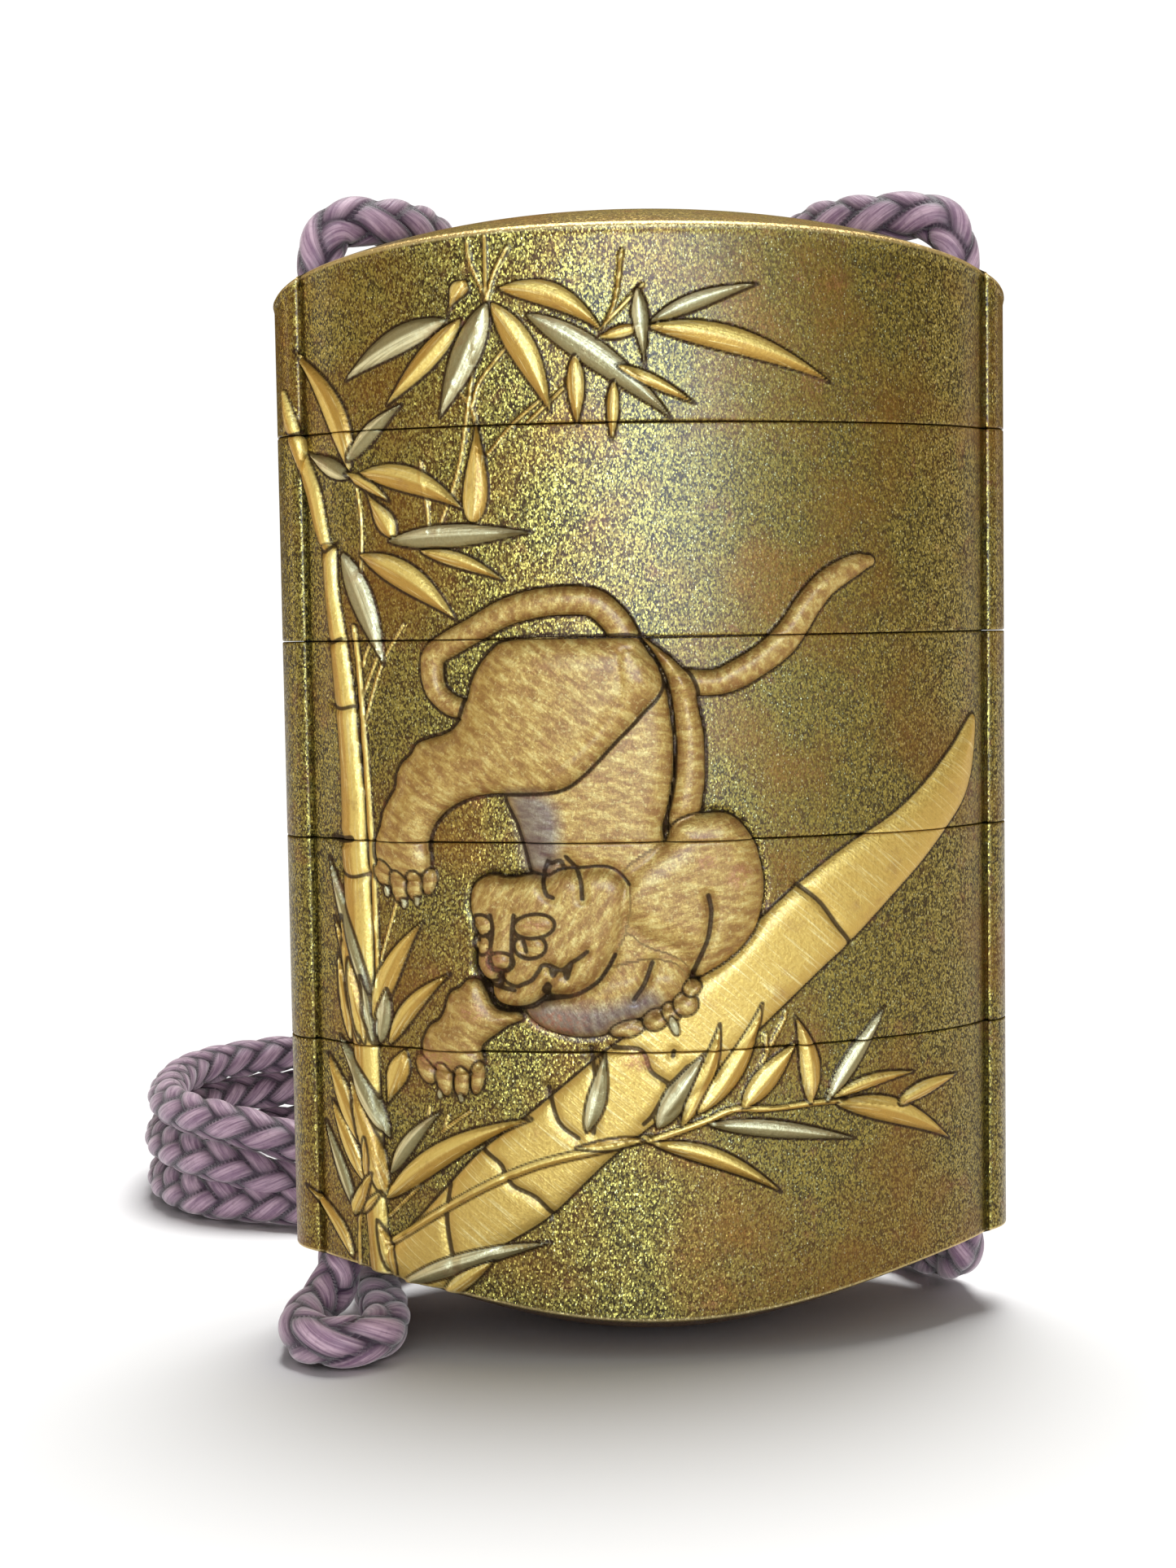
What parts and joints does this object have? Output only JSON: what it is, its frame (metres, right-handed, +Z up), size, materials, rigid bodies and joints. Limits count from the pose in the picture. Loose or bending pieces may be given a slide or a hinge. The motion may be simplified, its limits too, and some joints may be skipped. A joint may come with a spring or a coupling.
{
  "type": "inro case",
  "caption": "Oval lacquered case of stacked nesting boxes with a domed lid, a tiger and bamboo in relief, and a braided silk cord through side channels.",
  "frame": {"origin": "middle of the flat spot under the bottom case, on the surface that the case stands on, at the centre of the case's width and depth", "axes": "+Z up along the stack, +X to the right as seen from the tiger's side, and -Y towards the viewer of the tiger"},
  "size_m": [0.075, 0.0847, 0.0892],
  "materials": {
    "gold_lacquer": "thin wood core under sprinkled gold lacquer with raised gold and silver figures",
    "mauve_silk": "chunky flat-plaited silk braid, mauve with dark violet gaps"
  },
  "bodies": {
    "root": {"lid": "gold_lacquer", "case_1": "gold_lacquer", "case_2": "gold_lacquer", "case_3": "gold_lacquer", "case_4": "gold_lacquer", "cord_left_run": "mauve_silk", "cord_right_run": "mauve_silk", "cord_base": "mauve_silk", "cord_left_tail": "mauve_silk", "cord_right_tail": "mauve_silk", "cord_coil": "mauve_silk", "cord_knot": "mauve_silk"}
  },
  "joints": []
}
